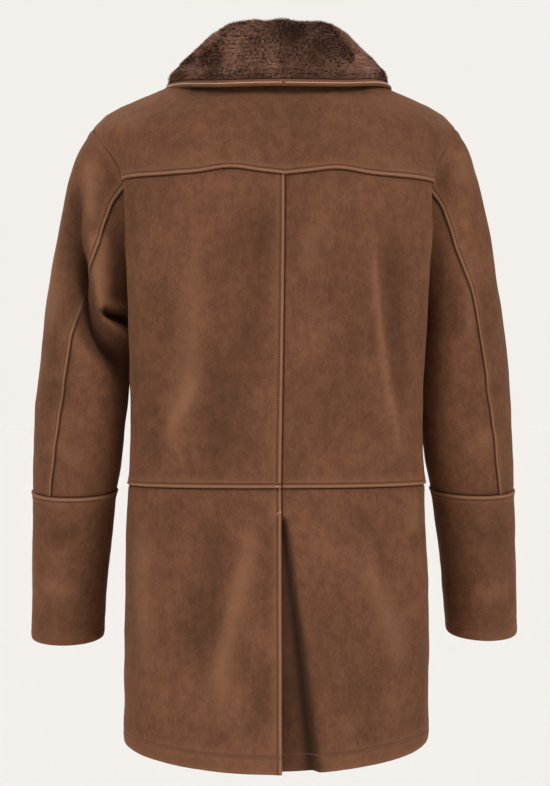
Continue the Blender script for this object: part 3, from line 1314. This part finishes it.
rows = np.linspace(0, len(COLLAR) - 1, COLLAR_ROWS)
foot = np.linspace(0, 0.012, len(FOOT_OUT))
fur_at = np.concatenate([foot, np.linspace(0.04, 0.88, 34), np.linspace(0.9, 1, 7)]) * fur_end
for side, name in ((1, "left"), (-1, "right")):
    flip = np.array([side, 1.0, 1.0])
    s, t = np.meshgrid(fur_at, rows)
    aside = COLLAR_ASIDE * ease(s / 0.3)[..., None]
    place, normal = collar.point(s, t), collar.normal(s, t)
    outer = woolly(place * flip, normal * flip, pile_at(s)) * flip
    inner = place - normal * SKIN
    for column, (out, down) in enumerate(zip(FOOT_OUT, FOOT_DOWN)):
        outer[:, column] = place[:, 0] + normal[:, 0] * out - (0, 0, down)
    outer, inner = (drawn_back(skin, SEAM_HALF) * flip + aside for skin in (outer, inner))
    tints = {"worn": np.zeros(s.shape), "groove": np.zeros(s.shape)}
    wall(f"collar_{name}", outer, inner, tints, (fur, suede))
print("the collar is", round(collar_length), "mm from the neck seam to its edge")

# %% [markdown]
# A strip of suede is folded round the fall's raw edge and sewn through. It is fattest in the
# middle, and flattens where the two cut edges lie.

# %% The binding round the collar's edge
band_start = fur_end + 2 * SEAM_HALF / collar_length
band_at = np.array([0, 0.06, 0.16, 0.3, 0.42, 0.5, 0.55, 0.6, 0.65, 0.7, 0.78, 0.87, 0.94, 1.0])
band_high = np.array([0.3, 0.8, 1.05, 1.1, 1.0, 0.85, 0.66, 0.6, 0.66, 0.85, 1.0, 0.95, 0.7, 0.3])
BAND_GROOVE, BAND_GROOVE_HALF, BAND_WORN, BAND_SHADE = 7, 0.08, 0.5, 1.1
for side, name in ((1, "left"), (-1, "right")):
    flip = np.array([side, 1.0, 1.0])
    s, t = np.meshgrid(band_start + (1 - band_start) * band_at, rows)
    place, normal = collar.point(s, t), collar.normal(s, t)
    thick = np.broadcast_to(BINDING_HALF * band_high, s.shape)[..., None]
    outer = drawn_back(place + normal * thick, SEAM_HALF) * flip + COLLAR_ASIDE
    inner = drawn_back(place - normal * thick, SEAM_HALF) * flip + COLLAR_ASIDE
    from_groove = (band_at - band_at[BAND_GROOVE]) / BAND_GROOVE_HALF
    groove = np.broadcast_to(np.exp(-(from_groove**2)), s.shape)
    tints = {"worn": np.full(s.shape, BAND_WORN), "groove": BAND_SHADE * groove}
    wall(f"collar_binding_{name}", outer, inner, tints, (suede, suede))
print("the binding is", BINDING_WIDTH, "mm wide")

# %% [markdown]
# ## The wool
# One strand is a narrow card that bends over and ends in a point. It is copied all over the
# collar, evenly by area. Wool gathers into locks, so every strand leans towards the middle of
# its lock as well as down the fall, and the gaps between locks stay dark.

# %% One strand, and the shapes copied many times
STRANDS, STRAND_LONG, STRAND_WIDE, LOCK = 54000, 9.2, 0.74, 5.6
FALLING, GATHERED, STRAYING = 0.55, 0.44, 0.34
COMBED = (SoftNoise(26.0, 31), SoftNoise(26.0, 32))
REACH, RISE, ROOTED, SPREAD, TWIST, CENTRE_LEAN = 0.75, 0.62, 0.8, 0.16, 0.35, 0.8
COMB_ACROSS, COMB_DOWN, OWN_TONE, LOCK_TONE, CELLS = 1.1, 0.6, 0.45, 0.55, 97
DARK_PATCHES = (
    # across, up, size, share
    (-14, 22, 24, 1.0),
    (-42, 4, 26, 0.85),
    (-20, -16, 20, 0.6),
    (110, -2, 13, 0.9),
    (-132, -16, 14, 0.5),
)


def copied(name, node, template, frames, places, material, tints=None):
    """Copies of a small shape, each turned by its frame and moved to its place, as one piece."""
    bmesh.ops.triangulate(template, faces=template.faces[:])
    points = np.array([vert.co for vert in template.verts])
    faces = np.array([[vert.index for vert in face.verts] for face in template.faces])
    everywhere = np.einsum("nij,kj->nki", frames, points) + places[:, None]
    every_face = faces[None] + len(points) * np.arange(len(places))[:, None, None]
    mesh = bpy.data.meshes.new(name)
    points, faces = everywhere.reshape(-1, 3) * MM, every_face.reshape(-1, 3)
    mesh.from_pydata(points.tolist(), [], faces.tolist())
    mesh.shade_smooth()
    mesh.materials.append(material)
    for key, values in (tints or {}).items():
        layer = mesh.attributes.new(key, "FLOAT", "POINT")
        layer.data.foreach_set("value", np.broadcast_to(values, everywhere.shape[:2]).ravel())
    piece = bpy.data.objects.new(f"{node}-{name}", mesh)
    bpy.context.scene.collection.objects.link(piece)
    return piece


strand = bmesh.new()
bmesh.ops.create_grid(strand, x_segments=1, y_segments=2, size=0.5)
TIP_HEIGHT = 0.92
STRAND_BEND = {-1: (0.0, 0.0, 0.5), 0: (0.2, 0.58, 0.42), 1: (0.66, TIP_HEIGHT, 0.0)}
for vert in strand.verts:
    forward, up, half = STRAND_BEND[round(vert.co.y * 2)]
    vert.co = (math.copysign(half, vert.co.x), forward, up)
bmesh.ops.remove_doubles(strand, verts=strand.verts[:], dist=1e-4)
strand.verts.index_update()
tip = np.array([vert.co.z / TIP_HEIGHT for vert in strand.verts])
print("one strand has", len(strand.faces), "faces")

# %% [markdown]
# More places are drawn than there are strands, and each one's chance to be kept is the area that
# it stands for, so the wool grows evenly. A strand leans down the fall, towards the middle of its
# lock, with the combing of the whole patch, and a little at random.

# %% The wool's strands
for side, name, seed in ((1, "left", 11), (-1, "right", 12)):
    rng = np.random.default_rng(seed)
    flip = np.array([side, 1.0, 1.0])
    s = rng.uniform(0.03, 1, 4 * STRANDS) * fur_end
    t = rng.uniform(0, len(COLLAR) - 1, 4 * STRANDS)
    step = 1e-3
    along_s = (collar.point(s + step, t) - collar.point(s, t)) / step
    along_t = (collar.point(s, t + step) - collar.point(s, t)) / step
    area = np.linalg.norm(np.cross(along_s, along_t), axis=1)
    kept = np.flatnonzero(rng.uniform(0, 1, len(area)) < area / area.max())[:STRANDS]
    s, t, along_s, along_t = s[kept], t[kept], along_s[kept], along_t[kept]
    place, normal = collar.point(s, t), collar.normal(s, t)
    fall, row_way = unit(along_s), unit(along_t)
    u, v = s * collar_length / LOCK, t * np.linalg.norm(along_t, axis=1) / LOCK
    shifted = 0.5 * (np.floor(u) % 2)
    cell_u, cell_v = np.floor(u).astype(int), np.floor(v + shifted).astype(int)
    cell = cell_u % CELLS, cell_v % CELLS
    nudge = np.random.default_rng(7).uniform(-0.3, 0.3, (2, CELLS, CELLS))
    to_u = cell_u + 0.5 + nudge[0][cell] - u
    to_v = cell_v + 0.5 - shifted + nudge[1][cell] - v
    lean = fall * FALLING + (fall * to_u[:, None] + row_way * to_v[:, None]) * 2 * GATHERED
    combed = [noise.at(place * flip)[:, None] for noise in COMBED]
    lean = lean + row_way * combed[0] * COMB_ACROSS + fall * combed[1] * COMB_DOWN
    lean = lean + rng.normal(0, STRAYING, lean.shape)
    lean = unit(lean - normal * (lean * normal).sum(axis=1, keepdims=True))
    lean = unit(lean - row_way * CENTRE_LEAN * ease(1 - t / 0.1)[:, None])
    long = STRAND_LONG * pile_at(s) / PILE * rng.uniform(0.7, 1.12, len(s))
    up = unit(normal + rng.normal(0, SPREAD, lean.shape))
    wide = unit(np.cross(lean, up) + rng.normal(0, TWIST, lean.shape)) * STRAND_WIDE
    frames = np.stack([wide, lean * long[:, None] * REACH, up * long[:, None] * RISE], axis=2)
    root = woolly(place * flip, normal * flip, pile_at(s)) * flip - normal * ROOTED
    tone = rng.uniform(0, 1, (len(s), 1)) * OWN_TONE
    tone = tone + LOCK_TONE * rng.uniform(0, 1, (CELLS, CELLS))[cell][:, None]
    dark = np.zeros(len(root))
    for x, z, size, share in DARK_PATCHES:
        away = (root[:, [0, 2]] * (side, 1) - (x, z)) / size
        dark = np.maximum(dark, share * np.exp(-(away**2).sum(axis=1)) * (root[:, 1] > 0))
    tints = {"tip": tip[None, :], "tone": tone, "dark": dark[:, None]}
    root = askew(root * flip + COLLAR_ASIDE * ease(s / 0.3)[:, None])
    copied("strands", f"collar_{name}", strand, frames * flip[:, None], root, wool, tints)
strand.free()
print(2 * STRANDS, "strands of wool")

# %% [markdown]
# ## The buttons
# Four horn buttons close the front. Each is a dished disc turned from its half section, with a
# raised rim. Two short bars of thread in its dish, over a flat pad of it, hold it on.

# %% The buttons


def spun(name, profile, steps, material, place):
    """A body of revolution about Z from its half section in millimetres, put in place."""
    bm = bmesh.new()
    line = [bm.verts.new((x * MM, 0, z * MM)) for x, z in profile]
    edges = [bm.edges.new(pair) for pair in zip(line, line[1:])]
    bmesh.ops.spin(bm, geom=line + edges, axis=(0, 0, 1), angle=math.tau, steps=steps, use_merge=True)
    bmesh.ops.remove_doubles(bm, verts=bm.verts[:], dist=1e-6)
    bmesh.ops.transform(bm, matrix=place, verts=bm.verts[:])
    return finished(name, bm, material)


BAR_APART, BAR_SIZE, PAD_SIZE, PAD_UP = 1.9, (5.2, 1.1, 0.9), (5.6, 5.2, 0.4), 0.3
BUTTON_PROFILE = (
    (0, 0),
    (BUTTON_RADIUS - BUTTON_RIM, 0),
    (BUTTON_RADIUS, BUTTON_RIM),
    (BUTTON_RADIUS, BUTTON_THICK - BUTTON_RIM),
    (BUTTON_RADIUS - BUTTON_RIM, BUTTON_THICK),
    (BUTTON_RADIUS - 3 * BUTTON_RIM, BUTTON_THICK - BUTTON_RIM),
    (0, BUTTON_THICK - BUTTON_RIM),
)
bar = bmesh.new()
bmesh.ops.create_icosphere(bar, subdivisions=2, radius=0.5)
rows = np.linspace(WAIST_ROW, SHOULDER_ROW, 400)
heights = front.point(np.zeros_like(rows), rows)[:, 2]
for number, height in enumerate(BUTTON_HEIGHTS, 1):
    row = np.interp(height, heights, rows)
    face = Vector(front.normal(0.0, row))
    seat = Vector(front.point(0.0, row)) + face * 2 * SEAM_HALF
    turn = Vector((0, 0, 1)).rotation_difference(face).to_matrix().to_4x4()
    spun(f"button_{number}", BUTTON_PROFILE, 48, horn, Matrix.Translation(seat * MM) @ turn)
    across, rise = Vector((1, 0, 0)), face.cross(Vector((1, 0, 0))).normalized()
    seat += face * (BUTTON_THICK - BUTTON_RIM)
    places = [seat + rise * BAR_APART, seat - rise * BAR_APART, seat + face * PAD_UP]
    frames = [np.array([across, rise, face]).T * size for size in (BAR_SIZE, BAR_SIZE, PAD_SIZE)]
    copied("thread", f"button_{number}", bar, np.array(frames), np.array(places), thread)
bar.free()
print(len(BUTTON_HEIGHTS), "buttons")

# %% [markdown]
# ## The stitches
# Every lap is sewn down with one row of stout stitches. A stitch is a small rounded grain of
# thread that lies in the groove, half sunk in it, and a dark needle hole lies between each two.
# One of each is modelled, and then copied along lines that are read off the finished walls: the
# groove is always the same column or row there.

# %% Stitches along the grooves
PITCH, STITCH_LONG, STITCH_WIDE, STITCH_SUNK = 3.3, 1.6, 1.15, -0.35
LAP_GROOVE, HEM_GROOVE, FREE_GROOVE, ARMHOLE_GROOVE = 8, 7, 5, 5
END_GAP, HOLE_RADIUS, HOLE_PROUD = 2.0, 0.75, 0.12


def stitches_on(outer, inner):
    """The place, run and way out of each stitch along a line of the outer skin."""
    away, far = unit(outer - inner), along(outer)
    count = int((far[-1] - 2 * END_GAP) / PITCH)
    at = END_GAP + PITCH * (np.arange(count) + 0.5)

    def read(table, places):
        return np.stack([np.interp(places, far, table[:, k]) for k in range(3)], axis=1)

    run = unit(read(outer, at + 0.5) - read(outer, at - 0.5))
    out = unit(read(away, at))
    return read(outer, at) - out * STITCH_SUNK, run, out


def sew(node, lines, material, name="thread", size=1.0):
    """Stitches along lines of a piece's grid. A line is a row or a column of it, and its ends."""
    outer, inner = skins[node]
    found = []
    for axis, index, first, last in lines:
        pick = (index, slice(first, last)) if axis == "row" else (slice(first, last), index)
        found.append(stitches_on(outer[pick], inner[pick]))
    places, run, out = (np.concatenate(part) for part in zip(*found))
    across = unit(np.cross(out, run))
    grain = bmesh.new()
    bmesh.ops.create_icosphere(grain, subdivisions=1, radius=0.5)
    frames = np.stack([run * STITCH_LONG, across * STITCH_WIDE, out * STITCH_WIDE], axis=2) * size
    copied(name, node, grain, frames, places, material)
    grain.free()
    hole = bmesh.new()
    bmesh.ops.create_circle(hole, cap_ends=True, segments=6, radius=HOLE_RADIUS)
    places = places + run * PITCH / 2 + out * (HOLE_PROUD + STITCH_SUNK)
    copied(f"{name}_holes", node, hole, np.stack([run, across, out], axis=2), places, needle_hole)
    hole.free()
    return len(places)


print("stitches every", PITCH, "mm")

# %% [markdown]
# The binding is sewn in a brighter thread, and so are the crossing of the back's seams and the
# tack that closes the vent's top, where a maker sews twice. The rest is sewn seam by seam.

# %% The seams' stitches
sides, BAND_STOUT, CROSSING_STOUT = ("left", "right"), 1.6, 1.4
for side in sides:
    line = [("column", BAND_GROOVE, 0, None)]
    sew(f"collar_binding_{side}", line, bright_thread, "pale_thread", BAND_STOUT)
crossing = [("row", LAP_GROOVE, 0, 8), ("column", LAP_GROOVE, 0, 11)]
sew("back_left", crossing, bright_thread, "pale_thread", CROSSING_STOUT)
vent_row = int(np.abs(skins["back_skirt_left"][0][:, 0, 2] - VENT_TOP_Z - 2).argmin())
tack = [("row", vent_row, 0, 9), ("column", LAP_GROOVE, vent_row - 1, vent_row + 2)]
sew("back_skirt_left", tack, bright_thread, "pale_thread", CROSSING_STOUT)
armpit = {name: int(np.searchsorted(rows_of[name], ARMPIT_ROW)) for name in rows_of}
lap, hem = ("row", LAP_GROOVE, 0, None), ("row", HEM_GROOVE, 0, None)
lap_edge, free_edge = ("column", LAP_GROOVE, 0, None), ("column", FREE_GROOVE, 0, None)
cuff = ("row", -1 - HEM_GROOVE, 0, None)


def armhole_line(node):
    """The line of stitches up a piece's armhole, from the armpit's row."""
    return ("column", -1 - ARMHOLE_GROOVE, armpit[node], None)


seams = {
    "back_yoke": [lap, ("column", ARMHOLE_GROOVE, 0, None), ("column", -1 - ARMHOLE_GROOVE, 0, None)],
    "back_left": [("row", LAP_GROOVE, 4, None), lap_edge, armhole_line("back_left")],
    "back_right": [lap, armhole_line("back_right")],
    "back_skirt_left": [lap_edge, hem],
    "back_skirt_right": [hem],
    **{f"front_{side}": [lap, free_edge, armhole_line(f"front_{side}")] for side in sides},
    **{f"front_skirt_{side}": [free_edge, hem] for side in sides},
    **{f"sleeve_top_{side}": [lap_edge] for side in sides},
    **{f"forearm_{side}": [lap, cuff] for side in sides},
}
sewn = sum(sew(node, lines, thread) for node, lines in seams.items())
print(sewn, "stitches")

# %% [markdown]
# ## What each piece is
# Every piece moves with the coat, stands for one of the packed walls and takes its finish from a
# slot. The cloth pieces are declared with the size each was cut to.

# %% The pieces' declarations
SHEETS = {
    # width, length, the share of that rectangle that is cut out, and what the piece hangs from
    "back_yoke": (685, 147, 0.8, "front_left", "front_right"),
    "back_left": (280, 413, 0.9, "back_yoke"),
    "back_right": (278, 410, 0.9, "back_yoke"),
    "back_skirt_left": (285, 350, 0.95, "back_left"),
    "back_skirt_right": (318, 350, 0.95, "back_right"),
    "front_left": (330, 523, 0.85, "back_yoke"),
    "front_right": (331, 525, 0.85, "back_yoke"),
    "front_skirt_left": (310, 350, 0.95, "front_left"),
    "front_skirt_right": (310, 350, 0.95, "front_right"),
    "sleeve_top_left": (281, 440, 0.8, "back_yoke", "front_left"),
    "sleeve_top_right": (279, 437, 0.8, "back_yoke", "front_right"),
    "sleeve_under_left": (188, 376, 0.9, "sleeve_top_left"),
    "sleeve_under_right": (182, 364, 0.9, "sleeve_top_right"),
    "forearm_left": (364, 189, 0.92, "sleeve_top_left"),
    "forearm_right": (364, 189, 0.92, "sleeve_top_right"),
    "collar_left": (365, 182, 0.8, "back_yoke", "front_left"),
    "collar_right": (360, 180, 0.8, "back_yoke", "front_right"),
    "collar_binding_left": (370, 18, 0.95, "collar_left"),
    "collar_binding_right": (370, 18, 0.95, "collar_right"),
}
dressed = [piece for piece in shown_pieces() if piece.name not in frame["nodes"]]
for piece in dressed:
    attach(piece, "root")
    node, stuff = piece.name.split("-")
    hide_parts(node)
    if stuff == "suede" or (stuff == "fur" and node in SHEETS):
        width, length, share, *rests = SHEETS[node]
        flat = (width * MM, length * MM)
        area = share * flat[0] * flat[1]
        sewn_on = [other for other in dressed if other.name.startswith(node + "-") and other != piece]
print(len(dressed), "pieces")

# %% [markdown]
# The dressed coat's box is written beside the packed one's. Suede may swell a little past the
# packed walls, but the coat's size must stay what it was.

# %% [markdown]
# The last call checks what was declared, and writes the table of the pieces.
